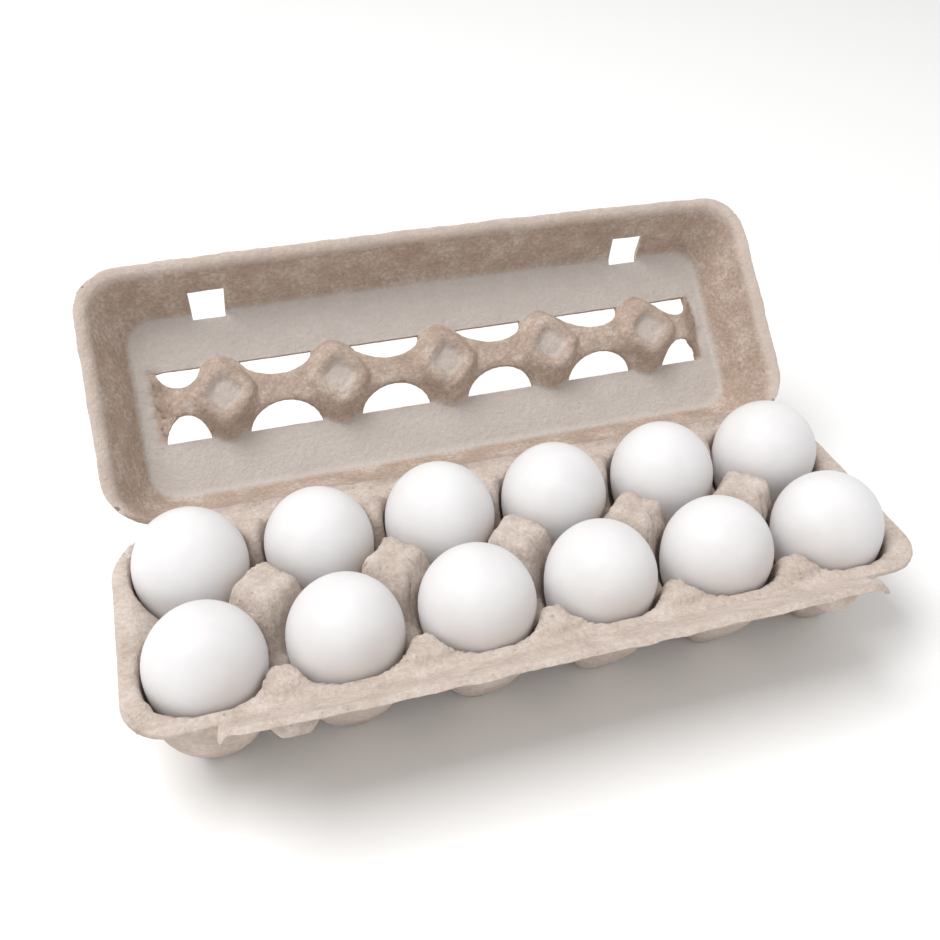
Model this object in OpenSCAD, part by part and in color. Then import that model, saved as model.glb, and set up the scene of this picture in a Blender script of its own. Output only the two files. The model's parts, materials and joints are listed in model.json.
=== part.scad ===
// Moulded pulp carton for a dozen eggs, open, with its eggs seated.
// Frame: X along the row of six, Y from the locking flap to the lid hinge, Z up.
// The origin is on the ground, under the middle of the open carton's box.

/* [Tray] */
// Length of the tray and lid rims
carton_length = 300; // [298:1:302]
// Rim of the tray: distance from the middle of the rows to its front edge
front_reach = 53; // [52.8:0.1:53.2]
// Distance from the middle of the rows to the lid hinge crease
hinge_reach = 49.4; // [49.2:0.1:49.6]
// Height of the tray rim above the ground
rim_height = 44; // [43.5:0.1:45]
// Spacing of the cells along the carton
pitch_x = 48.6; // [48.4:0.1:48.8]
// Spacing of the two rows
pitch_y = 49; // [48.9:0.1:49.2]
// Thickness of the pulp
pulp = 2.2; // [2:0.1:2.3]
// Height of the middle posts above the ground
post_height = 52.5; // [51:0.1:53]

/* [Lid] */
// Width of the lid from the hinge crease to its front rim
lid_width = 105.4; // [105:0.1:106]
// Inside depth of the lid
lid_depth = 24.6; // [24.2:0.1:26]
// How far the front and end walls lean in from rim to top panel
wall_lean = 14.4; // [14:0.2:14.8]
// Opening angle of the lid, 0 closed
lid_open = 137; // [90:1:170]
// Width of the latch holes
hole_width = 16; // [16:0.5:18]

/* [Locking flap] */
// Length of the flap along the carton
flap_length = 240; // [236:1:242]
// Width of the flap from its crease to the free edge
flap_width = 20; // [19:0.5:21]
// Upward tilt of the flap from level, pointing outwards
flap_tilt = 39; // [0:1:60]
// How far the lock buttons stand out of the flap
button_height = 3; // [2:0.5:3.5]

/* [Eggs] */
// Greatest radius of an egg
egg_radius = 21.6; // [21:0.1:21.7]
// Length of an egg
egg_length = 57; // [55:0.5:58]

/* [Hidden] */

columns = 6;
skin = 0.1; // thin slice that carries an outline into a hull
over = 0.5; // cuts run past the face they open by this much
round_fn = 8;

rim_top = rim_height;
tray_corner = 18;
rim_width = 4; // the flat rim outside the cups
saddle_height = 30; // top of the low ridge between two cups
saddle_width = 12;
saddle_length = 22;
foot_x = 6.5; // half sizes of a cup, from the foot upwards
foot_y = 9.5;
foot_corner = 5;
knee_height = 11;
knee_x = 14.5;
knee_y = 14.8;
knee_corner = 9;
belly_height = 28;
belly = 22.6;
belly_corner = 15;
mouth = 24.8;
mouth_corner = 13;

post_fn = 12;
post_low = 16; // the posts grow out of the cups' corners from here up
post_low_radius = 18.8;
post_waist = 30;
post_waist_radius = 13.4;
post_top_radius = 8;
rim_post_top = rim_top + 0.5;
rim_post_low = 20;
rim_post_inner = 40.6; // from the middle of the rows in to the small posts
end_post_inner = 137; // and from the middle of the carton to those at its ends
rim_post_radius = 6;
rim_post_low_radius = 10.5;

hinge_radius = 0.9; // half thickness of the pulp at a crease
crease_gap = 0.35;
hinge_length = 244;
hinge_z = rim_top + 0.6;
hinge_start = hinge_radius + crease_gap; // first bit of lid after the crease
lid_rim = 1.2; // width of the flat rim round the lid's mouth
lid_corner = 19;
panel_corner = 12;
back_lean = 11;
back_belly = 3.6; // the back wall is rounded, to clear the eggs: its lean at half depth
back_pulp = 1.5; // and its sheet is thinner
rib_middle = 51.2; // from the hinge to the middle of the rib
rib_half = 15.2;
rib_crest_half = 6;
rib_depth = 9;
rib_reach = 123; // half length of the rib
pad_depth = 12.6; // the pads reach this far in from the panel
pad_half = 8;
vent_half = 14.7;
end_vent_half = 8.5;
vent_width = 9;
hole_low = 0.28; // share of the front wall, from the rim, where a latch hole starts
hole_high = 0.98;

flap_pulp = 1.8;
flap_crease_y = -front_reach + hinge_radius;
flap_crease_z = rim_top - pulp / 2;
flap_start = hinge_radius + crease_gap;
flap_room = hinge_radius + 1; // the rim is cut back this far from the crease
lip_drop = 0.8; // the free edge is turned down by this much
button_root_start = 13.2; // from the crease to the near edge of a button's root
button_tip_start = 14.6;
button_end = 18; // and to the far edge of both
button_root = 14.5;
button_tip = 8;

egg_z = rim_top - 0.6; // height of an egg's widest ring
egg_blunt = egg_radius + 0.2; // widest ring up to the blunt end
egg_steps = 12;

flap_tip_y = flap_crease_y - flap_width * cos(flap_tilt)
    - (lip_drop + flap_pulp / 2) * sin(flap_tilt);
lid_rim_y = hinge_reach - lid_width * cos(lid_open) + 2 * sin(lid_open);
lid_fold_y = hinge_reach - (lid_width - wall_lean) * cos(lid_open)
    + (lid_depth + pulp) * sin(lid_open);
lid_tip_y = max(lid_rim_y, lid_fold_y);
middle_y = (flap_tip_y + lid_tip_y) / 2;

function cell_x(column) = (column - (columns + 1) / 2) * pitch_x;
function cell_y(row) = row == "front" ? -pitch_y / 2 : pitch_y / 2;

// Profile of an egg, blunt end up, from the point to the blunt end
function egg_side() = [for (i = [0 : 2 * egg_steps])
    let (a = -90 + 90 * i / egg_steps,
         half = a < 0 ? egg_length - egg_blunt : egg_blunt)
    [max(egg_radius * cos(a), 0), half * sin(a)]];

// Puts a piece drawn about the middle of the rows into the carton's frame
module placed() {
    translate([0, -middle_y, 0]) children();
}

// A thin rounded rectangle at height z
module slice(half_x, half_y, corner, z) {
    translate([0, 0, z])
        linear_extrude(height = skin)
            offset(r = corner, $fn = round_fn)
                square([2 * (half_x - corner), 2 * (half_y - corner)], center = true);
}

// A cup's body from its foot to the rim, drawn in by inset
module cup(inset) {
    hull() {
        slice(foot_x - inset / 2, foot_y - inset, foot_corner - inset / 2, inset);
        slice(knee_x - inset, knee_y - inset, knee_corner - inset, knee_height + inset / 3);
    }
    hull() {
        slice(knee_x - inset, knee_y - inset, knee_corner - inset, knee_height + inset / 3);
        slice(belly - inset, belly - inset, belly_corner - inset, belly_height);
    }
    hull() {
        slice(belly - inset, belly - inset, belly_corner - inset, belly_height);
        slice(mouth - inset, mouth - inset, mouth_corner - inset, rim_top - skin);
    }
}

module each_cell() {
    for (column = [1 : columns])
        for (row = ["front", "back"])
            translate([cell_x(column), cell_y(row), 0]) children();
}

module each_gap() {
    for (column = [1 : columns - 1])
        translate([cell_x(column) + pitch_x / 2, 0, 0]) children();
}

// Outline of the tray's rim, drawn in by inset
module tray_outline(inset) {
    depth = front_reach + hinge_reach - hinge_start;
    translate([0, (hinge_reach - hinge_start - front_reach) / 2])
        offset(r = tray_corner - inset, $fn = 4 * round_fn)
            square([carton_length - 2 * tray_corner, depth - 2 * tray_corner], center = true);
}

// One of the five tall posts between the rows, or its hollow underside
module middle_post(inset) {
    translate([0, 0, post_low - inset])
        cylinder(h = post_waist - post_low, r1 = post_low_radius - inset,
                 r2 = post_waist_radius - inset, $fn = post_fn);
    translate([0, 0, post_waist - inset - skin])
        cylinder(h = post_height - post_waist, r1 = post_waist_radius - inset,
                 r2 = post_top_radius - inset, $fn = post_fn);
}

// A small post from y = -inner out to a rim at -reach, or its hollow, which runs out under it
module rim_post(inner, reach, inset) {
    run_out = inset > 0 ? reach + 12 : reach - rim_post_radius;
    hull() for (y = [inner, run_out]) {
        translate([0, -y, rim_post_top - inset - skin])
            cylinder(h = skin, r = rim_post_radius - inset, $fn = 8);
        translate([0, -y, rim_post_low - inset])
            cylinder(h = skin, r = rim_post_low_radius - inset, $fn = 8);
    }
}

// The small posts along both rims, and one at each end between the rows
module each_rim_post(inset) {
    each_gap() {
        rim_post(rim_post_inner, front_reach, inset);
        mirror([0, 1, 0]) rim_post(rim_post_inner, hinge_reach - hinge_start, inset);
    }
    for (turn = [90, -90])
        rotate(turn) rim_post(end_post_inner, carton_length / 2, inset);
}

// The low ridges between neighbouring cups
module ridges() {
    each_gap()
        for (side = [-1, 1])
            translate([0, side * pitch_y / 2, saddle_height - pulp / 2])
                cube([saddle_width, saddle_length, pulp], center = true);
    for (column = [1 : columns])
        translate([cell_x(column), 0, saddle_height - pulp / 2])
            cube([saddle_length, saddle_width, pulp], center = true);
}

// What is open above the ridges, from cell to cell
module cell_gaps() {
    inner_half = 2.5 * pitch_x;
    for (side = [-1, 1])
        translate([-inner_half, side * pitch_y / 2 - saddle_length / 2, saddle_height])
            cube([2 * inner_half, saddle_length, rim_top]);
    for (column = [1 : columns])
        translate([cell_x(column) - saddle_length / 2, -pitch_y / 2, saddle_height])
            cube([saddle_length, pitch_y, rim_top]);
}

// The strip of rim that the flap's crease takes the place of
module flap_notch() {
    length = flap_length + 2 * crease_gap;
    translate([-length / 2, flap_crease_y + flap_room - 2 * rim_width, rim_top - pulp - over])
        cube([length, 2 * rim_width, pulp + 2 * over]);
}

module base_tray() {
    color("#c8baa9") placed() difference() {
        union() {
            difference() {
                union() {
                    translate([0, 0, rim_top - pulp]) linear_extrude(height = pulp) tray_outline(0);
                    intersection() {
                        each_cell() cup(0);
                        linear_extrude(height = rim_top) tray_outline(1);
                    }
                    ridges();
                }
                each_cell() cup(pulp);
                cell_gaps();
                translate([0, 0, rim_top - skin / 2]) each_cell()
                    slice(mouth - pulp, mouth - pulp, mouth_corner - pulp, 0);
            }
            each_gap() middle_post(0);
            intersection() {
                each_rim_post(0);
                linear_extrude(height = post_height) tray_outline(rim_width);
            }
        }
        each_gap() middle_post(pulp);
        each_rim_post(pulp);
        flap_notch();
    }
}

// Puts a piece drawn on the closed lid, from the hinge forwards, at its open angle
module on_lid() {
    placed() translate([0, hinge_reach, hinge_z]) rotate([-lid_open, 0, 0]) children();
}

// Outline of the lid at one depth: near and far edges from the hinge, half length
module lid_slice(near, far, half, corner, depth) {
    translate([0, -(near + far) / 2, 0]) slice(half, (far - near) / 2, corner, depth);
}

// The lid's body, drawn in by inset all round
module lid_shell(inset) {
    half_way = (lid_rim + wall_lean) / 2;
    back_inset = inset > 0 ? back_pulp : 0;
    hull() {
        lid_slice(hinge_start + back_inset, lid_width - lid_rim - inset,
                  carton_length / 2 - lid_rim - inset, lid_corner - lid_rim, inset > 0 ? -over : 0);
        lid_slice(back_belly + back_inset, lid_width - half_way - inset,
                  carton_length / 2 - half_way - inset, panel_corner, lid_depth / 2);
        lid_slice(back_lean + inset, lid_width - wall_lean - inset,
                  carton_length / 2 - wall_lean - inset, panel_corner,
                  lid_depth + pulp - skin - inset);
    }
}

// The rib that is pushed in along the middle of the lid
module lid_rib(inset) {
    top = lid_depth + pulp;
    hull() {
        lid_slice(rib_middle - rib_half + inset, rib_middle + rib_half - inset,
                  rib_reach - inset, 6, top + (inset > 0 ? over : -skin));
        lid_slice(rib_middle - rib_crest_half + inset, rib_middle + rib_crest_half - inset,
                  rib_reach - 8 - inset, 3, lid_depth - rib_depth + inset);
    }
}

// A diamond pad on the rib, above one of the tall posts
module lid_pad(inset) {
    top = lid_depth + pulp;
    hull() {
        translate([0, -rib_middle, top + (inset > 0 ? over : -skin)])
            rotate(45) linear_extrude(height = skin)
                square(2 * (pad_half + 4 - inset), center = true);
        translate([0, -rib_middle, lid_depth - pad_depth + inset])
            rotate(45) linear_extrude(height = skin)
                square(2 * (pad_half - inset / 2), center = true);
    }
}

module each_pad() {
    for (column = [1 : columns - 1])
        translate([cell_x(column) + pitch_x / 2, 0, 0]) children();
}

// The openings either side of the rib, one over each egg
module vents() {
    for (column = [1 : columns])
        for (side = [-1, 1]) {
            at_end = column == 1 || column == columns;
            half = at_end ? end_vent_half : vent_half;
            inwards = at_end ? (column == 1 ? 7 : -7) : 0;
            translate([cell_x(column) + inwards - half,
                       -rib_middle - side * (rib_half - vent_width / 2) - vent_width / 2, 5])
                cube([2 * half, vent_width, 40]);
        }
}

// The two holes in the front wall that the lock buttons catch in
module latch_holes() {
    low = hole_low * lid_depth;
    high = hole_high * lid_depth;
    for (side = [-1, 1])
        translate([side * 2 * pitch_x - hole_width / 2, -lid_width, low])
            cube([hole_width, wall_lean + 2, high - low]);
}

module lid() {
    color("#beb1a4") on_lid() difference() {
        union() {
            difference() {
                union() {
                    lid_shell(0);
                    lid_slice(hinge_start, lid_width, carton_length / 2, lid_corner, 0);
                    hull() {
                        lid_slice(hinge_start, lid_width, carton_length / 2, lid_corner, 0);
                        lid_slice(hinge_start + 0.2, lid_width - 0.2, carton_length / 2 - 0.2,
                                  lid_corner, 2 - skin);
                    }
                }
                lid_shell(pulp);
            }
            intersection() {
                lid_shell(0);
                union() {
                    lid_rib(0);
                    each_pad() lid_pad(0);
                }
            }
        }
        lid_rib(pulp);
        each_pad() lid_pad(pulp);
        vents();
        latch_holes();
    }
}

// Puts a piece drawn on a flat flap, from the crease outwards, at its tilt
module on_flap() {
    placed() translate([0, flap_crease_y, flap_crease_z]) rotate([-flap_tilt, 0, 0]) children();
}

module lock_flap() {
    length = flap_length;
    color("#cdbfae") on_flap() {
        translate([-length / 2, -flap_width, -flap_pulp / 2])
            cube([length, flap_width - flap_start, flap_pulp]);
        translate([-length / 2, -flap_width, -flap_pulp / 2 - lip_drop])
            cube([length, flap_pulp, lip_drop + flap_pulp]);
        for (side = [-1, 1])
            translate([side * (length - flap_pulp) / 2 - flap_pulp / 2, -flap_width,
                       -flap_pulp / 2 - lip_drop])
                cube([flap_pulp, flap_width - 8, lip_drop + flap_pulp]);
    }
}

// A hollow boss under the flap, over the gap between the first two cells
module lock_button(side) {
    color("#b3a594") on_flap()
        translate([side * 2 * pitch_x, -button_end, -flap_pulp / 2]) mirror([0, 0, 1])
            hull() {
                translate([-button_root / 2, 0, 0])
                    cube([button_root, button_end - button_root_start, skin]);
                translate([-button_tip / 2, 0, button_height - skin])
                    cube([button_tip, button_end - button_tip_start, skin]);
            }
}

module lock_button_left() {
    lock_button(-1);
}

module lock_button_right() {
    lock_button(1);
}

// The crease that joins the lid's rim to the tray's rim
module lid_hinge() {
    color("#b9aa99") placed()
        translate([-hinge_length / 2, hinge_reach, hinge_z]) rotate([0, 90, 0])
            cylinder(h = hinge_length, r = hinge_radius, $fn = 24);
}

// The crease that joins the flap to the tray's rim
module flap_hinge() {
    color("#b9aa99") placed()
        translate([-flap_length / 2, flap_crease_y, flap_crease_z]) rotate([0, 90, 0])
            cylinder(h = flap_length, r = hinge_radius, $fn = 24);
}

module egg(row, column) {
    color("#f2efec") placed()
        translate([cell_x(column), cell_y(row), egg_z])
            rotate_extrude($fn = 48)
                polygon(egg_side());
}

base_tray();
lid();
lock_flap();
lock_button_left();
lock_button_right();
lid_hinge();
flap_hinge();
egg("front", 1);  // egg_front_1
egg("front", 2);  // egg_front_2
egg("front", 3);  // egg_front_3
egg("front", 4);  // egg_front_4
egg("front", 5);  // egg_front_5
egg("front", 6);  // egg_front_6
egg("back", 1);  // egg_back_1
egg("back", 2);  // egg_back_2
egg("back", 3);  // egg_back_3
egg("back", 4);  // egg_back_4
egg("back", 5);  // egg_back_5
egg("back", 6);  // egg_back_6
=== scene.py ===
import json
import math

import bpy
from mathutils import Matrix, Vector, noise


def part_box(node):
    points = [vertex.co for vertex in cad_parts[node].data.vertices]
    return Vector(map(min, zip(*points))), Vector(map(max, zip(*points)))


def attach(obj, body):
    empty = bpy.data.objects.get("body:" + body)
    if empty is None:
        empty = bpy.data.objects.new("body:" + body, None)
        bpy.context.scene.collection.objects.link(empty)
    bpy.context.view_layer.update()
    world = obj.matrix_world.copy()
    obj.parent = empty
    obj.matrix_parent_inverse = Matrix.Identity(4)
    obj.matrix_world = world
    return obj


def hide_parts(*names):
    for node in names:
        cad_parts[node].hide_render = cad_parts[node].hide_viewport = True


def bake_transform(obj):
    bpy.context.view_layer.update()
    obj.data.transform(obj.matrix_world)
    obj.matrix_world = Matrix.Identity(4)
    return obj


# Lengths below are in millimetres. The carton's own measures run along the rows (x),
# across them from the middle between the two rows (y), and up from the ground (z).
mm = 0.001

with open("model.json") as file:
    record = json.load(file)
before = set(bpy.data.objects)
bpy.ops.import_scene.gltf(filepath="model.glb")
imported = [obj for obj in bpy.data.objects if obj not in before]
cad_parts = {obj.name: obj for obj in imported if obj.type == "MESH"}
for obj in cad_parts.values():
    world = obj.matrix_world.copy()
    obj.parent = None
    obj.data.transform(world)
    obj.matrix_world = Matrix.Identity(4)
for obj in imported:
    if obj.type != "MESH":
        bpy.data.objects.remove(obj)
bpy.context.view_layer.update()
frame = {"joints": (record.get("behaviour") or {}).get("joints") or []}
jointPlace = {j["name"]: Vector(j["pos_m"]) / mm for j in frame["joints"] if "pos_m" in j}
trayLow, trayHigh = [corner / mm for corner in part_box("base_tray")]


def middleOf(node):
    low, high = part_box(node)
    return (low + high) / 2 / mm


frontEgg = middleOf("egg_front_1")
backEgg = middleOf("egg_back_1")
rowMiddle = (frontEgg.y + backEgg.y) / 2
carton = {
    "columns": 6,
    "pitchX": (middleOf("egg_front_6").x - frontEgg.x) / 5,
    "pitchY": backEgg.y - frontEgg.y,
    "halfLength": trayHigh.x,
    "pulp": 2.2,
    "hingeY": jointPlace["lid_fold"].y - rowMiddle,
    "hingeZ": jointPlace["lid_fold"].z,
    "creaseY": jointPlace["flap_fold"].y - rowMiddle,
    "creaseZ": jointPlace["flap_fold"].z,
    "rimTop": jointPlace["flap_fold"].z + 1.1,
}
halfPulp = carton["pulp"] / 2


def deselectAll():
    if bpy.context.mode != "OBJECT":
        bpy.ops.object.mode_set(mode="OBJECT")
    bpy.ops.object.select_all(action="DESELECT")


def makeActive(piece):
    deselectAll()
    piece.select_set(True)
    bpy.context.view_layer.objects.active = piece


def applyModifier(piece, kind, **settings):
    makeActive(piece)
    modifier = piece.modifiers.new(kind.title(), kind)
    for key, value in settings.items():
        setattr(modifier, key, value)
    bpy.ops.object.modifier_apply(modifier=modifier.name)


# leaves piece in edit mode with the vertices, edges or faces that wanted() picks
def editWhere(piece, wanted, mode="EDGE"):
    makeActive(piece)
    bpy.ops.object.mode_set(mode="EDIT")
    bpy.ops.mesh.select_mode(type=mode)
    bpy.ops.mesh.select_all(action="DESELECT")
    bpy.ops.object.mode_set(mode="OBJECT")
    data = piece.data
    items = {"VERT": data.vertices, "EDGE": data.edges, "FACE": data.polygons}[mode]
    for item in items:
        item.select = wanted(item)
    bpy.ops.object.mode_set(mode="EDIT")


def mergeClose(piece, distance=0.02):
    makeActive(piece)
    bpy.ops.object.mode_set(mode="EDIT")
    bpy.ops.mesh.select_all(action="SELECT")
    bpy.ops.mesh.remove_doubles(threshold=distance * mm)
    bpy.ops.object.mode_set(mode="OBJECT")


def joinPieces(pieces, name):
    deselectAll()
    for piece in pieces:
        piece.select_set(True)
    bpy.context.view_layer.objects.active = pieces[0]
    bpy.ops.object.join()
    pieces[0].name = name
    pieces[0].data.name = name
    return pieces[0]


# a flat one by one grid: vertex x and y run from 0 to 1 and say where it is in the sheet
def addGrid(name, across, along):
    deselectAll()
    bpy.ops.mesh.primitive_grid_add(x_subdivisions=across, y_subdivisions=along, size=1,
                                    location=(0, 0, 0))
    piece = bpy.context.object
    piece.name = name
    piece.data.name = name
    return piece


# moves every vertex of a one by one grid to place(share across, share along), in mm
def shapeGrid(piece, place):
    for vertex in piece.data.vertices:
        x, y, z = place(vertex.co.x + 0.5, vertex.co.y + 0.5)
        vertex.co = (x * mm, (y + rowMiddle) * mm, z * mm)
    piece.data.update()


def smooth(share):
    share = min(max(share, 0), 1)
    return share * share * (3 - 2 * share)


def softMin(a, b, width):
    near = max(width - abs(a - b), 0) / width
    return min(a, b) - near * near * width / 4


def softMax(a, b, width):
    return -softMin(-a, -b, width)


# pushes the vertices about by smooth noise: lumps is a list of (size, height) in mm
def roughen(piece, lumps, along="all", weight=None):
    normals = [vertex.normal.copy() for vertex in piece.data.vertices]
    places = []
    for vertex, normal in zip(piece.data.vertices, normals):
        place = vertex.co / mm
        share = weight(place) if weight else 1
        push = Vector()
        for size, height in lumps:
            push += noise.noise_vector(place / size) * height
        if along == "normal":
            push = normal * push.x
        places.extend((place + push * share) * mm)
    piece.data.vertices.foreach_set("co", places)
    piece.data.update()


def smoothShade(piece, angle=50):
    makeActive(piece)
    bpy.ops.object.shade_smooth_by_angle(angle=math.radians(angle))


tray = {
    "rimZ": carton["rimTop"] - halfPulp,    # the middle of the pulp, as are all these
    "frontReach": rowMiddle - trayLow.y,
    "backReach": trayHigh.y - rowMiddle,
    "frontCorner": 17,
    "backCorner": 25,
    "directions": 96,                       # vertices round a cup, and rings up its wall
    "rings": 36,
    "foot": (5.6, 7.6),                     # half size of a cup's foot along x and y
    "mouth": 23.4,
    "mouthHeight": 42.9,
    "squareness": (4.6, 2.3),               # at the foot and the mouth: 2 is round, 4 is squarish
    "bulge": 2.0,
    "flank": 0.62,                          # the flat flanks of a foot: rise for a share outwards
    "flare": 2.6,                           # how steeply the wall runs on above the mouth
    "saddle": 29,
    "postTops": (50.6, 51.3, 50.8, 51.2, 51.5),
    "postHalf": 9.6,
    "postSlope": 3.2,
    "postSquareness": 1.35,                 # 1 is a diamond in plan
    "shelf": 8,                             # how far in from the edge the rim stays up
    "shelfSlope": 3,
    "bumpStart": 5.8,
    "bumpReach": 16.5,
    "bumpRise": 2.6,
    "bumpHalf": 14,                         # half its width along the rim
    "bumpRound": 0.03,                      # how fast it falls away to its sides
    "groove": (0.7, 0.9),                   # depth and width of the crease before it
    "endSlope": 0.85,                       # down from the end rims to the saddle
}
gapsX = [(column - 2.5) * carton["pitchX"] + carton["pitchX"] / 2 for column in range(5)]


def cellCentre(column, row):
    return Vector(((column - 2.5) * carton["pitchX"], (row - 0.5) * carton["pitchY"]))


# how far a point of the plan is inside the outline of the tray's rim
def insideEdge(x, y):
    corner = tray["frontCorner"] if y < 0 else tray["backCorner"]
    reach = tray["frontReach"] if y < 0 else tray["backReach"]
    a = abs(x) - (carton["halfLength"] - corner)
    b = abs(y) - (reach - corner)
    return corner - math.hypot(max(a, 0), max(b, 0)) - min(max(a, b), 0)


def postHeight(x, y):
    best = 0
    for gap, top in zip(gapsX, tray["postTops"]):
        a, b = abs(x - gap), abs(y)
        if a > 20 or b > 20:
            continue
        n = tray["postSquareness"]
        out = (a ** n + b ** n) ** (1 / n)
        flank = top + (tray["postHalf"] - out) * tray["postSlope"]
        dish = 1.1 * math.exp(-(out / 4.5) ** 2)
        best = max(best, softMin(top - dish, flank, 2.5))
    return best


# the flat rim, and the small three-sided bumps on it between neighbouring eggs
def rimHeight(x, y):
    inside = insideEdge(x, y)
    height = tray["rimZ"] - tray["shelfSlope"] * max(inside - tray["shelf"], 0)
    if carton["halfLength"] - abs(x) < 30 and abs(y) < 16:
        return tray["rimZ"] - tray["endSlope"] * max(inside - 6.5, 0)
    aside = min(abs(x - gap) for gap in gapsX)
    if aside < tray["bumpHalf"]:
        past = inside - tray["bumpStart"]
        deep, wide = tray["groove"]
        roof = tray["bumpRise"] * smooth(past / 2.2)
        roof -= tray["bumpRound"] * aside * aside + deep * math.exp(-(past / wide) ** 2)
        drop = tray["shelfSlope"] * max(inside - tray["bumpReach"], 0)
        height = max(height, tray["rimZ"] + roof - drop)
    return height


# height of a cup's wall above a point of the plan, running on up past its mouth
def cupHeight(centre, x, y):
    a, b = x - centre.x, y - centre.y
    out = math.hypot(a, b)
    if out < 0.01:
        return halfPulp
    c, s = abs(a) / out, abs(b) / out
    foot = tray["foot"][0] * c * c + tray["foot"][1] * s * s
    footN, mouthN = tray["squareness"]
    up = smooth((out - foot) / (tray["mouth"] - foot))
    n = footN + (mouthN - footN) * up
    level = out * (c ** n + s ** n) ** (1 / n)
    share = (level - foot) / (tray["mouth"] - foot)
    if share <= 0:
        return halfPulp
    if share >= 1:
        return tray["mouthHeight"] + (level - tray["mouth"]) * tray["flare"]
    # straight flanks up to the knee, then round into the bowl that holds the egg
    rise = 1 - (1 - share) ** (1 / tray["bulge"])
    rise = softMax(rise, share * tray["flank"], 0.05)
    return halfPulp + (tray["mouthHeight"] - halfPulp) * rise


def trayHeight(centre, x, y):
    land = softMax(tray["saddle"], postHeight(x, y), 3)
    land = softMax(land, rimHeight(x, y), 1.5)
    return softMin(cupHeight(centre, x, y), land, 1.6)


# a point on a cell's border, clockwise from its far right corner
def cellEdge(column, row, share):
    centre = cellCentre(column, row)
    halfX, halfY = carton["pitchX"] / 2, carton["pitchY"] / 2
    left = -carton["halfLength"] if column == 0 else centre.x - halfX
    right = carton["halfLength"] if column == 5 else centre.x + halfX
    front = -tray["frontReach"] if row == 0 else centre.y - halfY
    back = tray["backReach"] if row == 1 else centre.y + halfY
    corners = [(right, back), (right, front), (left, front), (left, back), (right, back)]
    side = min(int(share * 4), 3)
    part = share * 4 - side
    x = corners[side][0] + (corners[side + 1][0] - corners[side][0]) * part
    y = corners[side][1] + (corners[side + 1][1] - corners[side][1]) * part
    corner = tray["frontCorner"] if row == 0 else tray["backCorner"]
    reach = tray["frontReach"] if row == 0 else tray["backReach"]
    middle = Vector((carton["halfLength"] - corner, reach - corner))
    a, b = abs(x) - middle.x, abs(y) - middle.y
    if a > 0 and b > 0:                     # past both straight edges: onto the round corner
        long = math.hypot(a, b)
        x = math.copysign(middle.x + corner * a / long, x)
        y = math.copysign(middle.y + corner * b / long, y)
    return Vector((x, y))


# points from a cup's middle out to the cell's border, evenly spaced along the pulp
def wallLine(column, row, share):
    centre = cellCentre(column, row)
    edge = cellEdge(column, row, share)
    fine = []
    steps = 90
    for k in range(steps + 1):
        x, y = centre + (edge - centre) * (k / steps)
        fine.append(Vector((x, y, trayHeight(centre, x, y))))
    run = [0]
    for a, b in zip(fine, fine[1:]):
        run.append(run[-1] + (b - a).length)
    line = []
    k = 0
    for ring in range(tray["rings"] + 1):
        target = run[-1] * ring / tray["rings"]
        while k < steps - 1 and run[k + 1] < target:
            k += 1
        part = (target - run[k]) / (run[k + 1] - run[k])
        line.append(fine[k].lerp(fine[k + 1], min(part, 1)))
    return line


def makeCell(column, row):
    piece = addGrid("cell", tray["directions"], tray["rings"])
    lines = [wallLine(column, row, (d % tray["directions"]) / tray["directions"])
             for d in range(tray["directions"] + 1)]

    def place(across, along):
        return lines[round(across * tray["directions"])][round(along * tray["rings"])]
    shapeGrid(piece, place)
    return piece


# more lumps on the posts and bumps than on the rim and down in the cups
def trayRoughness(place):
    x, y = place.x, place.y - rowMiddle
    high = smooth((place.z - 38) / 6) * smooth((insideEdge(x, y) - 6) / 4)
    return 0.35 + 1.8 * high


def makeTray():
    cells = [makeCell(column, row) for row in range(2) for column in range(carton["columns"])]
    piece = joinPieces(cells, "tray")
    mergeClose(piece)
    roughen(piece, [(7, 0.5), (2.6, 0.3)], weight=trayRoughness)
    applyModifier(piece, "SOLIDIFY", thickness=carton["pulp"] * mm, offset=0)

    def onEdge(edge):
        ends = [piece.data.vertices[v].co / mm for v in edge.vertices]
        level = abs(ends[0].z - ends[1].z) < 1
        return level and all(insideEdge(e.x, e.y - rowMiddle) < 0.9 for e in ends) and \
            (ends[0] - ends[1]).length > 1.2
    editWhere(piece, onEdge)
    bpy.ops.mesh.bevel(offset=0.6 * mm, segments=2)
    bpy.ops.object.mode_set(mode="OBJECT")
    roughen(piece, [(1.6, 0.1)], along="normal")
    smoothShade(piece, 60)
    return piece


lid = {
    "angle": 137,                           # how far it stands open
    "start": 1.25,                          # from the hinge to the rim's near edge
    "width": 105.4,
    "bow": 1.6,                             # the front rim bows out a little in the middle
    "corner": 19,
    "flange": 3.2,
    "wallCorner": 16,
    "panelCorner": 12.5,
    "panelBack": 11.8,                      # where the back and front walls meet the panel
    "panelFront": 89,
    "panelHalf": 133,
    "panelDepth": 25.6,
    "ribMiddle": 51.2,
    "ribHalf": 15.2,
    "ribCrest": 5.5,
    "ribDepth": 9,
    "ribReach": 125,
    "padDepth": 12.6,
    "padHalf": 11.4,                        # from a pad's middle to its corners
    "padSlope": 1.7,
    "padSquareness": 1.4,
    "dish": 2.4,
}
vent = {"half": 15.6, "endFrom": 105, "endTo": 123.5, "far": 66.4, "near": 35.2, "deep": 10}
latch = {"half": 7.7, "top": 12.8, "bottom": 28.2, "lean": 0.8, "from": 87.2}


# a point of the closed lid, u from the hinge forwards and v up, where it stands open
def onLid(x, u, v):
    angle = math.radians(lid["angle"])
    y = carton["hingeY"] - u * math.cos(angle) + v * math.sin(angle)
    z = carton["hingeZ"] + u * math.sin(angle) + v * math.cos(angle)
    return x, y, z


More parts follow.
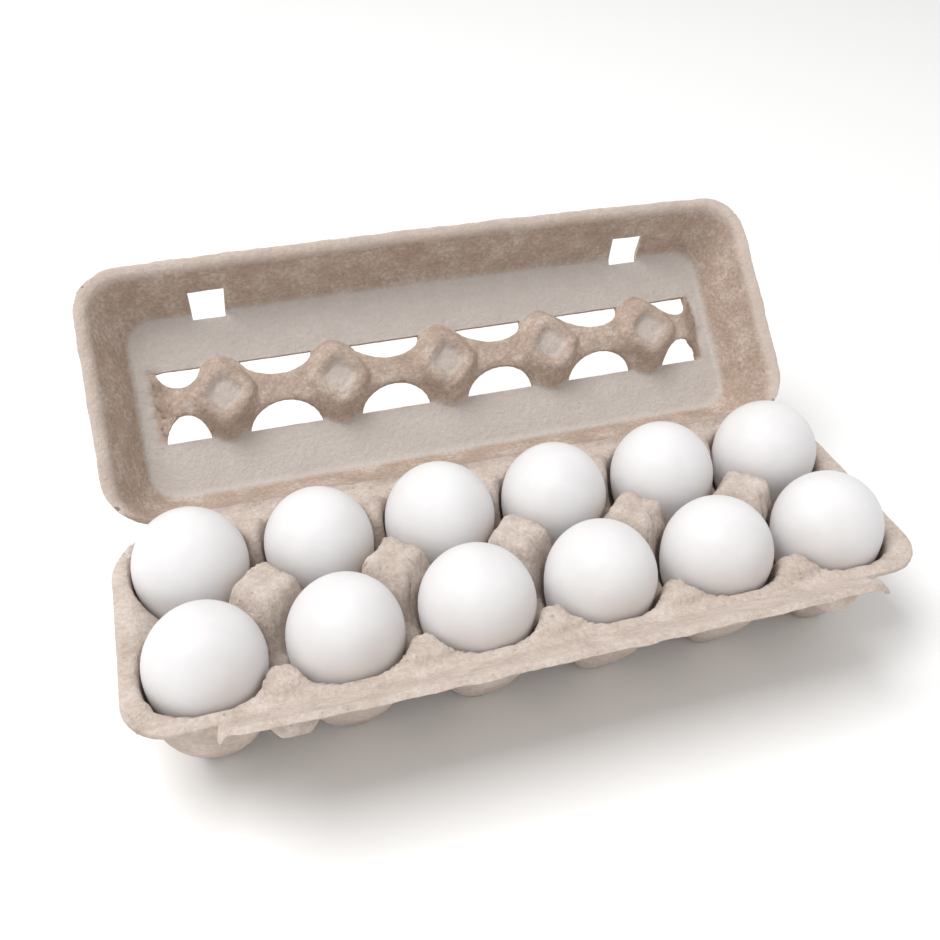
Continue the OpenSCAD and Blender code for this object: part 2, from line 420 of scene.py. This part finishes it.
def insideRound(x, u, near, far, half, corner):
    a = abs(x) - (half - corner)
    b = abs(u - (near + far) / 2) - ((far - near) / 2 - corner)
    return math.hypot(max(a, 0), max(b, 0)) + min(max(a, b), 0) <= corner


# 0 at the foot of the lid's wall, 1 on its panel
def wallShare(x, u):
    def within(share):
        near = lid["start"] + 0.5
        rounded = share ** 1.9              # the back wall is rounded, to clear the eggs
        far = lid["width"] - lid["flange"]
        half = carton["halfLength"] - lid["flange"]
        return insideRound(x, u, near + (lid["panelBack"] - near) * rounded,
                           far + (lid["panelFront"] - far) * share,
                           half + (lid["panelHalf"] - half) * share,
                           lid["wallCorner"] + (lid["panelCorner"] - lid["wallCorner"]) * share)
    if not within(0):
        return 0
    if within(1.25):
        return 1.25
    low, high = 0, 1.25
    for _ in range(14):
        middle = (low + high) / 2
        if within(middle):
            low = middle
        else:
            high = middle
    return low


# how far the rib and its pads are pushed in from the panel
def ribPush(x, u):
    across = abs(u - lid["ribMiddle"])
    slope = lid["ribDepth"] / (lid["ribHalf"] - lid["ribCrest"])
    push = min((lid["ribHalf"] - across) * slope, (lid["ribReach"] - abs(x)) * 1.1)
    push = softMin(push, lid["ribDepth"], 2)
    for gap in gapsX:
        n = lid["padSquareness"]
        out = (abs(x - gap) ** n + across ** n) ** (1 / n)
        flank = lid["padDepth"] + (lid["padHalf"] - out) * lid["padSlope"]
        top = lid["padDepth"] - lid["dish"] * smooth((lid["padHalf"] - 2.2 - out) / 3.4)
        push = softMax(push, softMin(flank, top, 1), 1)
    return max(push, 0)


# the lid's sheet: a grid pulled round at its corners, with the wall, panel and rib
def lidPlace(across, along):
    corner = lid["corner"]
    half = carton["halfLength"]
    x = (across * 2 - 1) * half
    u = lid["start"] + along * (lid["width"] - lid["start"])
    middle = (lid["start"] + lid["width"]) / 2
    deep = (lid["width"] - lid["start"]) / 2
    a, b = abs(x) - (half - corner), abs(u - middle) - (deep - corner)
    if a > 0 and b > 0:
        scale = max(a, b) / math.hypot(a, b)
        x = math.copysign(half - corner + a * scale, x)
        u = middle + math.copysign(deep - corner + b * scale, u - middle)
    share = wallShare(x, u)
    v = softMin(share * (lid["panelDepth"] - halfPulp), lid["panelDepth"] - halfPulp, 3.5)
    v = halfPulp + max(v, 0)
    if share >= 0.9:
        v -= ribPush(x, u)
    bowed = u + lid["bow"] * smooth((u - 60) / 40) * (1 - (x / half) ** 2)
    return onLid(x, bowed, v)


# x, u and v of a point of the open lid, in mm
def lidPart(place):
    angle = math.radians(lid["angle"])
    y = place.y - rowMiddle - carton["hingeY"]
    z = place.z - carton["hingeZ"]
    return place.x, -y * math.cos(angle) + z * math.sin(angle), \
        y * math.sin(angle) + z * math.cos(angle)


def lidRoughness(place):
    x, u, v = lidPart(place)
    rib = smooth((17 - abs(u - lid["ribMiddle"])) / 3) * smooth((130 - abs(x)) / 3)
    endCrease = math.exp(-((abs(x) - 124) / 4) ** 2) * smooth((19 - abs(u - lid["ribMiddle"])) / 4)
    edge = smooth((5 - v) / 4)
    return 0.22 + 0.9 * rib + 2.6 * endCrease + 0.5 * edge


# a closed prism through the lid from an outline of (x, u) points, as a cutter
def prism(outline, low, high):
    deselectAll()
    bpy.ops.mesh.primitive_circle_add(vertices=len(outline), radius=1, fill_type="NGON")
    piece = bpy.context.object
    for vertex, (x, u) in zip(piece.data.vertices, outline):
        vertex.co = (x, u, low)
    bpy.ops.object.mode_set(mode="EDIT")
    bpy.ops.mesh.select_all(action="SELECT")
    bpy.ops.mesh.extrude_region_move(TRANSFORM_OT_translate={"value": (0, 0, high - low)})
    bpy.ops.mesh.select_all(action="SELECT")
    bpy.ops.mesh.normals_make_consistent(inside=False)
    bpy.ops.object.mode_set(mode="OBJECT")
    return piece


# a vent's outline: straight along the panel, curved where it climbs the rib
def halfMoon(left, right, flat, deep):
    centre, half = (left + right) / 2, (right - left) / 2
    curve = [(centre + half * math.cos(math.pi * k / 14),
              flat + deep * math.sin(math.pi * k / 14) ** 1.15) for k in range(1, 14)]
    return [(right, flat)] + curve + [(left, flat)]


def lidCutter():
    cutters = []
    for column in range(carton["columns"]):
        centre = (column - 2.5) * carton["pitchX"]
        left, right = centre - vent["half"], centre + vent["half"]
        if column == 0:
            left, right = -vent["endTo"], -vent["endFrom"]
        if column == 5:
            left, right = vent["endFrom"], vent["endTo"]
        cutters.append(prism(halfMoon(left, right, vent["far"], -vent["deep"]), 4, 40))
        cutters.append(prism(halfMoon(left, right, vent["near"], vent["deep"]), 4, 40))
    for side in (-2, 2):
        x, half, lean = side * carton["pitchX"], latch["half"], latch["lean"]
        hole = prism([(x - half, latch["top"]), (x + half, latch["top"]),
                      (x + half - lean, latch["bottom"]), (x - half + lean, latch["bottom"])],
                     latch["from"], 112)
        for vertex in hole.data.vertices:   # it runs through the front wall instead
            vertex.co = (vertex.co.x, vertex.co.z, vertex.co.y)
        cutters.append(hole)
    piece = joinPieces(cutters, "lidCutter")
    for vertex in piece.data.vertices:
        x, y, z = onLid(*vertex.co)
        vertex.co = (x * mm, (y + rowMiddle) * mm, z * mm)
    makeActive(piece)
    bpy.ops.object.mode_set(mode="EDIT")
    bpy.ops.mesh.select_all(action="SELECT")
    bpy.ops.mesh.normals_make_consistent(inside=False)
    bpy.ops.object.mode_set(mode="OBJECT")
    return piece


# marks the smooth inner face of the panel and pads, and the frayed rim with its painted highlight, for
# the material
def markLid(piece):
    pressed = []
    frayedRimHighlight = []
    for vertex in piece.data.vertices:
        x, u, v = lidPart(vertex.co / mm)
        across = abs(u - lid["ribMiddle"])
        panel = smooth((v - lid["panelDepth"] + 3.5) / 2)
        inner = smooth((lid["panelDepth"] + 0.4 - v) / 0.6)
        beside = max(smooth((across - lid["ribHalf"] + 1) / 2),
                     smooth((abs(x) - lid["ribReach"]) / 3))
        n = lid["padSquareness"]
        out = min((abs(x - gap) ** n + across ** n) ** (1 / n) for gap in gapsX)
        pressed.append(max(panel * beside * inner, 0.7 * smooth((lid["padHalf"] - 3.2 - out) / 2)))
        # the rim's share of fraying and of the painted highlight on it
        frayedRimHighlight.append(smooth((3.4 - v) / 1.4) * smooth((u - 4) / 4))
    for name, shares in (("pressed", pressed), ("frayedRimHighlight", frayedRimHighlight)):
        attribute = piece.data.attributes.new(name, "FLOAT", "POINT")
        attribute.data.foreach_set("value", shares)


def makeLid():
    piece = addGrid("lidShell", 240, 88)
    shapeGrid(piece, lidPlace)
    roughen(piece, [(8, 0.55), (2.8, 0.32)], weight=lidRoughness)
    applyModifier(piece, "SOLIDIFY", thickness=carton["pulp"] * mm, offset=0)

    def onEdge(edge):
        ends = [piece.data.vertices[v] for v in edge.vertices]
        if (ends[0].co - ends[1].co).length < 0.9 * mm:
            return False
        for end in ends:
            x, u, v = lidPart(end.co / mm)
            far = lid["width"] + lid["bow"] * (1 - (x / carton["halfLength"]) ** 2)
            if v > 4 or insideRound(x, u, lid["start"] + 0.8, far - 0.8,
                                    carton["halfLength"] - 0.8, lid["corner"] - 0.8):
                return False
        return True
    editWhere(piece, onEdge)
    bpy.ops.mesh.bevel(offset=0.6 * mm, segments=2)
    bpy.ops.object.mode_set(mode="OBJECT")
    cutter = lidCutter()
    applyModifier(piece, "BOOLEAN", operation="DIFFERENCE", object=cutter, solver="MANIFOLD")
    bpy.data.objects.remove(cutter)
    roughen(piece, [(1.6, 0.1)], along="normal")
    markLid(piece)
    smoothShade(piece, 60)
    return piece


flap = {
    "half": 120,
    "start": 0.9,                           # from the crease to the flap's root
    "width": 20.2,
    "tilt": (43, 40, 38.5),                 # at its left end, a third along and its right end
    "pulp": 1.9,
    "lip": 0.9,
    "lobe": 1.4,
    "sag": 0.5,
    "endTurn": 3.4,                         # its two ends are turned down by this much
}
button = {"from": 15.2, "height": 5.6, "root": (17.5, 9.5), "tip": (9, 5)}


def flapTilt(x):
    left, middle, right = flap["tilt"]
    near = smooth((x + flap["half"]) / 70)
    far = smooth((x + flap["half"] - 70) / 170)
    return math.radians(left + (middle - left) * near + (right - middle) * far)


# a point of the flap, out from the crease and up off its middle, at the flap's tilt
def onFlap(x, out, up):
    tilt = flapTilt(x)
    y = carton["creaseY"] - out * math.cos(tilt) - up * -math.sin(tilt)
    z = carton["creaseZ"] + out * math.sin(tilt) + up * math.cos(tilt)
    return x, y, z


def flapWidth(x):
    lobes = sum(math.exp(-((x - cell * carton["pitchX"]) / 15) ** 2) for cell in (-1.5, -0.5, 0.5, 1.5))
    ends = smooth((flap["half"] - abs(x)) / 9)
    return (flap["width"] - 3 + flap["lobe"] * lobes * 0.7) * (0.8 + 0.2 * ends) + 3 * ends


def flapPlace(across, along):
    x = (across * 2 - 1) * flap["half"]
    width = flapWidth(x)
    run = flap["start"] + along * (width + flap["lip"] - flap["start"])
    past = run - width
    bend = 1.6                              # the free edge turns down over this radius
    if past < -bend:
        out, up = run, 0
    else:
        turn = min((past + bend) / bend, 1.3)
        out = width - bend + bend * math.sin(min(turn, 1.25))
        up = -bend * (1 - math.cos(min(turn, 1.25))) - max(past + bend - 1.25 * bend, 0)
    up += flap["sag"] * math.sin(math.pi * min(out / width, 1)) * math.cos(x / 31)
    up -= flap["endTurn"] * smooth((abs(x) - flap["half"] + 2.6) / 2.6) * smooth(out / 6)
    return onFlap(x, out, up)


def makeFlap():
    piece = addGrid("lockFlap", 160, 18)
    shapeGrid(piece, flapPlace)
    roughen(piece, [(9, 0.5), (3, 0.25)])
    applyModifier(piece, "SOLIDIFY", thickness=flap["pulp"] * mm, offset=0)
    roughen(piece, [(1.6, 0.1)], along="normal")
    smoothShade(piece, 60)
    return piece


# a lock button: a small block, drawn in towards its tip and rounded
def makeButton(side, name):
    deselectAll()
    bpy.ops.mesh.primitive_cube_add(size=1)
    piece = bpy.context.object
    piece.name = name
    piece.data.name = name
    for vertex in piece.data.vertices:
        atTip = vertex.co.z < 0
        sizeX, sizeY = button["tip"] if atTip else button["root"]
        up = -button["height"] - 0.6 if atTip else -0.4
        x, out = vertex.co.x * sizeX, vertex.co.y * sizeY + button["from"] - (0.5 if atTip else 0)
        place = onFlap(side * 2 * carton["pitchX"] + x, out, up)
        vertex.co = Vector((place[0], place[1] + rowMiddle, place[2])) * mm
    applyModifier(piece, "BEVEL", width=1.3 * mm, segments=4)
    applyModifier(piece, "SUBSURF", levels=2, render_levels=2)
    makeActive(piece)
    bpy.ops.object.mode_set(mode="EDIT")
    bpy.ops.mesh.select_all(action="SELECT")
    bpy.ops.mesh.normals_make_consistent(inside=False)
    bpy.ops.object.mode_set(mode="OBJECT")
    roughen(piece, [(3, 0.3)])
    smoothShade(piece, 60)
    return piece


# the bent strip of pulp at a fold, from one rim's edge to the next
def makeCrease(name, half, root, far, dip):
    piece = addGrid(name, 120, 12)

    def place(across, along):
        x = (across * 2 - 1) * half
        point = root(x, along).lerp(far(x, 1 - along), smooth(along))
        point.z -= dip * math.sin(math.pi * along) ** 2
        return point
    shapeGrid(piece, place)
    applyModifier(piece, "SOLIDIFY", thickness=1.5 * mm, offset=0)
    roughen(piece, [(5, 0.2)])
    smoothShade(piece, 60)
    return piece


def makeLidCrease():
    def root(x, along):
        return Vector((x, tray["backReach"] - 1 + 3 * along, tray["rimZ"]))

    def far(x, along):
        return Vector(onLid(x, lid["start"] + 1 - 3 * along, halfPulp))
    return makeCrease("lidCrease", 122, root, far, 0.3)


def makeFlapCrease():
    def root(x, along):
        return Vector((x, -tray["frontReach"] + 1.4 - 3 * along, tray["rimZ"]))

    def far(x, along):
        return Vector(onFlap(x, flap["start"] + 1.2 - 3 * along, 0))
    return makeCrease("flapCrease", flap["half"], root, far, 1.1)


egg = {
    "radius": 22,
    "length": 57,
    "blunt": 22.4,                          # widest ring up to the blunt end, on top
    "point": 1.25,                          # how much the lower end draws in
}
# how each egg differs: its radius, how high it sits, and how it leans along x and y
eggs = {
    "front": [(-0.5, -1.4, 2, 3), (-0.7, -1.3, -3, 2), (-0.1, 0, 3, -3),
              (-0.6, -0.2, -2, 4), (-0.4, 0, 3, 2), (-0.2, 1.2, -4, -2)],
    "back": [(-0.2, -0.4, -3, 2), (-0.7, -1.2, 2, -3), (0.1, 0.1, -2, 3),
             (-0.4, -0.1, 3, 2), (-0.4, 0.7, -2, -4), (-0.2, 2.2, 4, 3)],
}


def makeEgg(row, column):
    cadNode = f"egg_{row}_{column + 1}"
    slimmer, higher, leanX, leanY = eggs[row][column]
    low, high = [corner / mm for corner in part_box(cadNode)]
    centre = Vector(((low.x + high.x) / 2, (low.y + high.y) / 2, high.z - 21.8 + higher))
    deselectAll()
    bpy.ops.mesh.primitive_uv_sphere_add(segments=64, ring_count=40, radius=1)
    piece = bpy.context.object
    piece.name = f"shell_{row}_{column + 1}"
    piece.data.name = piece.name
    radius = egg["radius"] + slimmer - 0.25
    turn = Matrix.Rotation(math.radians(leanX), 3, "X") @ Matrix.Rotation(math.radians(leanY), 3, "Y")
    for vertex in piece.data.vertices:
        x, y, z = vertex.co
        if z > 0:
            shaped = Vector((x * radius, y * radius, z * egg["blunt"]))
        else:
            slim = 1 - 0.09 * (egg["point"] * z * z - 0.25 * z * z * z * z)
            shaped = Vector((x * radius * slim, y * radius * slim, z * (egg["length"] - egg["blunt"])))
        vertex.co = (centre + turn @ shaped) * mm
    makeActive(piece)
    bpy.ops.object.shade_smooth()
    return piece


# an sRGB hex colour as the linear one that shaders use
def colour(hexValue):
    parts = [int(hexValue[i:i + 2], 16) / 255 for i in (1, 3, 5)]
    linear = [c / 12.92 if c <= 0.04045 else ((c + 0.055) / 1.055) ** 2.4 for c in parts]
    return (*linear, 1)


# adds a node; an input is a value for its socket, or another node's socket to link
def addNode(tree, kind, inputs=None, **settings):
    node = tree.nodes.new(kind)
    for key, value in settings.items():
        setattr(node, key, value)
    for key, value in (inputs or {}).items():
        if isinstance(value, bpy.types.NodeSocket):
            tree.links.new(value, node.inputs[key])
        else:
            node.inputs[key].default_value = value
    return node


def ramp(tree, factor, stops):
    node = addNode(tree, "ShaderNodeValToRGB", {"Fac": factor})
    node.color_ramp.elements[0].position = stops[0][0]
    node.color_ramp.elements[0].color = colour(stops[0][1])
    node.color_ramp.elements[1].position = stops[-1][0]
    node.color_ramp.elements[1].color = colour(stops[-1][1])
    for position, hexValue in stops[1:-1]:
        element = node.color_ramp.elements.new(position)
        element.color = colour(hexValue)
    return node


# recycled paper pulp, pressed wet on a mesh mould: matt, cloudy, full of short fibres
def pulpMaterial(name, dark, middle, light, fleck, grain):
    material = bpy.data.materials.new(name)
    material.use_nodes = True
    tree = material.node_tree
    tree.nodes.clear()
    place = addNode(tree, "ShaderNodeTexCoord").outputs["Object"]
    # clouds where the pulp settled thicker or thinner, about 12 mm across
    cloud = addNode(tree, "ShaderNodeTexNoise", {"Vector": place, "Scale": 1 / (12 * mm),
                    "Detail": 4, "Roughness": 0.6})
    # fibre clumps, 1.7 mm: real ones are finer, but this is as fine as shows
    clump = addNode(tree, "ShaderNodeTexNoise", {"Vector": place, "Scale": 1 / (1.7 * mm),
                    "Detail": 3, "Roughness": 0.65})
    both = addNode(tree, "ShaderNodeMix", {0: 0.5, 2: cloud.outputs["Fac"],
                   3: clump.outputs["Fac"]})
    base = ramp(tree, both.outputs[0], [(0.3, dark), (0.5, middle), (0.7, light)])
    shade = base.outputs["Color"]
    # single fibres, 5 mm long and 0.5 mm wide, lying two ways
    for turn in ((0.3, 0.5, 0.6), (1.1, -0.4, 2.2)):
        lie = addNode(tree, "ShaderNodeMapping", {"Vector": place, "Rotation": turn,
                      "Scale": (1 / (5 * mm), 1 / (0.6 * mm), 1 / (0.6 * mm))})
        fibre = addNode(tree, "ShaderNodeTexNoise", {"Vector": lie.outputs["Vector"], "Scale": 1,
                        "Detail": 1, "Distortion": 0.5})
        mask = addNode(tree, "ShaderNodeMapRange", {"Value": fibre.outputs["Fac"],
                       "From Min": 0.66, "From Max": 0.74, "To Max": 0.35})
        mixed = addNode(tree, "ShaderNodeMix", {"Factor": mask.outputs["Result"], 6: shade,
                        7: colour(light)}, data_type="RGBA")
        shade = mixed.outputs[2]
    # dark flecks of print and bark, 0.7 mm
    speck = addNode(tree, "ShaderNodeTexNoise", {"Vector": place, "Scale": 1 / (1.4 * mm),
                    "Detail": 1})
    mask = addNode(tree, "ShaderNodeMapRange", {"Value": speck.outputs["Fac"],
                   "From Min": 0.7, "From Max": 0.76, "To Max": 0.5})
    mixed = addNode(tree, "ShaderNodeMix", {"Factor": mask.outputs["Result"], 6: shade,
                    7: colour(fleck)}, data_type="RGBA")
    # where the sheet was pressed against the smooth die it is greyer and flatter
    pressed = addNode(tree, "ShaderNodeAttribute", attribute_name="pressed")
    mask = addNode(tree, "ShaderNodeMath", {0: pressed.outputs["Fac"], 1: 0.75},
                   operation="MULTIPLY")
    mixed = addNode(tree, "ShaderNodeMix", {"Factor": mask.outputs["Value"],
                    6: mixed.outputs[2], 7: colour("#cdc7c2")}, data_type="RGBA")
    # the cut rim is frayed, and painted paler as a painted highlight where its loose fibres stand up
    # and would catch the light
    frayedRimHighlight = addNode(tree, "ShaderNodeAttribute", attribute_name="frayedRimHighlight")
    mask = addNode(tree, "ShaderNodeMath", {0: frayedRimHighlight.outputs["Fac"], 1: 0.6},
                   operation="MULTIPLY")
    mixed = addNode(tree, "ShaderNodeMix", {"Factor": mask.outputs["Value"],
                    6: mixed.outputs[2], 7: colour(light)}, data_type="RGBA")
    # rough to the touch: lumps of 2.4 mm with a finer grain on them
    lump = addNode(tree, "ShaderNodeTexNoise", {"Vector": place, "Scale": 1 / (2.4 * mm),
                   "Detail": 5, "Roughness": 0.7})
    bump = addNode(tree, "ShaderNodeBump", {"Height": lump.outputs["Fac"],
                   "Strength": grain, "Distance": 0.9 * mm})
    shader = addNode(tree, "ShaderNodeBsdfPrincipled", {"Base Color": mixed.outputs[2],
                     "Roughness": 0.92, "Specular IOR Level": 0.2, "Normal": bump.outputs["Normal"]})
    addNode(tree, "ShaderNodeOutputMaterial", {"Surface": shader.outputs["BSDF"]})
    return material


# egg shell, white: chalky calcite under a thin dry bloom, so a soft wide highlight
def shellMaterial():
    material = bpy.data.materials.new("eggshellChalkyBloom")
    material.use_nodes = True
    tree = material.node_tree
    tree.nodes.clear()
    place = addNode(tree, "ShaderNodeTexCoord").outputs["Object"]
    tint = addNode(tree, "ShaderNodeTexNoise", {"Vector": place, "Scale": 1 / (16 * mm),
                   "Detail": 3})
    base = ramp(tree, tint.outputs["Fac"], [(0.35, "#e4e2e2"), (0.65, "#eae9e9")])
    # pores, 0.9 mm apart: real ones are closer, but this is as fine as shows
    pore = addNode(tree, "ShaderNodeTexVoronoi", {"Vector": place, "Scale": 1 / (0.9 * mm)})
    dimple = addNode(tree, "ShaderNodeMapRange", {"Value": pore.outputs["Distance"],
                     "From Min": 0.0, "From Max": 0.35})
    bump = addNode(tree, "ShaderNodeBump", {"Height": dimple.outputs["Result"],
                   "Strength": 0.12, "Distance": 0.1 * mm})
    shader = addNode(tree, "ShaderNodeBsdfPrincipled", {"Base Color": base.outputs["Color"],
                     "Roughness": 0.48, "Specular IOR Level": 0.35,
                     "Normal": bump.outputs["Normal"]})
    addNode(tree, "ShaderNodeOutputMaterial", {"Surface": shader.outputs["BSDF"]})
    return material


def plainMaterial(name, hexValue, roughness):
    material = bpy.data.materials.new(name)
    material.use_nodes = True
    shader = material.node_tree.nodes["Principled BSDF"]
    shader.inputs["Base Color"].default_value = colour(hexValue)
    shader.inputs["Roughness"].default_value = roughness
    return material


def paint(piece, material):
    piece.data.materials.clear()
    piece.data.materials.append(material)


trayPulp = pulpMaterial("mouldedPulpTray", "#b3a297", "#cabbb0", "#dfd3cb", "#83756a", 1.0)
# the lid is the same pulp as the tray, given darker colours as painted shade for its inner faces that
# turn away from the light
lidPulpPaintedShade = pulpMaterial("mouldedPulpLidPaintedShade", "#a28d7e", "#b7a394", "#d9cbc1", "#806d60", 1.0)
# the flap is the same pulp as the tray, given lighter colours as painted light for its top face that
# catches the light
flapPulpPaintedLight = pulpMaterial("mouldedPulpFlapPaintedLight", "#b6a59a", "#cdbeb3", "#e1d5cd", "#83756a", 1.0)
shell = shellMaterial()

trayPiece = makeTray()
paint(trayPiece, trayPulp)
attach(trayPiece, "base")
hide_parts("base_tray")
print("tray:", len(trayPiece.data.polygons), "faces")

lidPiece = makeLid()
paint(lidPiece, lidPulpPaintedShade)
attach(lidPiece, "lid")
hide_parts("lid")
print("lid:", len(lidPiece.data.polygons), "faces")

flapPiece = makeFlap()
paint(flapPiece, flapPulpPaintedLight)
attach(flapPiece, "flap")
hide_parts("lock_flap")
for side, name in ((-1, "left"), (1, "right")):
    piece = makeButton(side, "lockButton_" + name)
    paint(piece, flapPulpPaintedLight)
    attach(piece, "flap")
    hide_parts("lock_button_" + name)
print("flap and buttons")

lidCrease = makeLidCrease()
paint(lidCrease, trayPulp)
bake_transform(lidCrease)
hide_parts("lid_hinge")
flapCrease = makeFlapCrease()
paint(flapCrease, flapPulpPaintedLight)
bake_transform(flapCrease)
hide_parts("flap_hinge")
print("creases")

for row in ("front", "back"):
    for column in range(carton["columns"]):
        piece = makeEgg(row, column)
        cadNode = f"egg_{row}_{column + 1}"
        paint(piece, shell)
        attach(piece, cadNode)
        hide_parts(cadNode)
print("eggs")


deselectAll()
bpy.ops.mesh.primitive_plane_add(size=6, location=(0, 0, 0))
floor = bpy.context.object
floor.name = "floor"
paint(floor, plainMaterial("paleFloor", "#f8f8f7", 0.9))

world = bpy.data.worlds.new("softRoom")
world.use_nodes = True
world.node_tree.nodes["Background"].inputs["Color"].default_value = (1, 1, 1, 1)
world.node_tree.nodes["Background"].inputs["Strength"].default_value = 0.62
bpy.context.scene.world = world


def areaLight(name, place, power, size):
    deselectAll()
    bpy.ops.object.light_add(type="AREA", location=place)
    light = bpy.context.object
    light.name = name
    light.data.energy = power
    light.data.size = size
    light.rotation_euler = (Vector((0, 0.02, 0.05)) - Vector(place)).to_track_quat("-Z", "Y").to_euler()


areaLight("keyLight", (-0.8, 0.1, 1.9), 30, 1.2)
areaLight("fillLight", (0.5, -0.9, 0.6), 0.7, 1.0)

view = {
    "place": (-110.0, -268.6 + rowMiddle, 312.5),
    "yaw": 18.464,                          # turned from +Y towards +X
    "pitch": 38.724,                        # looking down
    "roll": 1.593,
    "lens": 39.03,
}
yaw, pitch, roll = [math.radians(view[key]) for key in ("yaw", "pitch", "roll")]
forward = Vector((math.sin(yaw) * math.cos(pitch), math.cos(yaw) * math.cos(pitch), -math.sin(pitch)))
level = Vector((math.cos(yaw), -math.sin(yaw), 0))
upward = level.cross(forward)
right = math.cos(roll) * level + math.sin(roll) * upward
top = math.cos(roll) * upward - math.sin(roll) * level
cameraData = bpy.data.cameras.new("camera")
cameraData.lens = view["lens"]
cameraData.sensor_width = 36
camera = bpy.data.objects.new("camera", cameraData)
bpy.context.scene.collection.objects.link(camera)
camera.matrix_world = Matrix.Translation(Vector(view["place"]) * mm) @ \
    Matrix((right, top, -forward)).transposed().to_4x4()
bpy.context.scene.camera = camera
bpy.context.scene.view_settings.view_transform = "Standard"
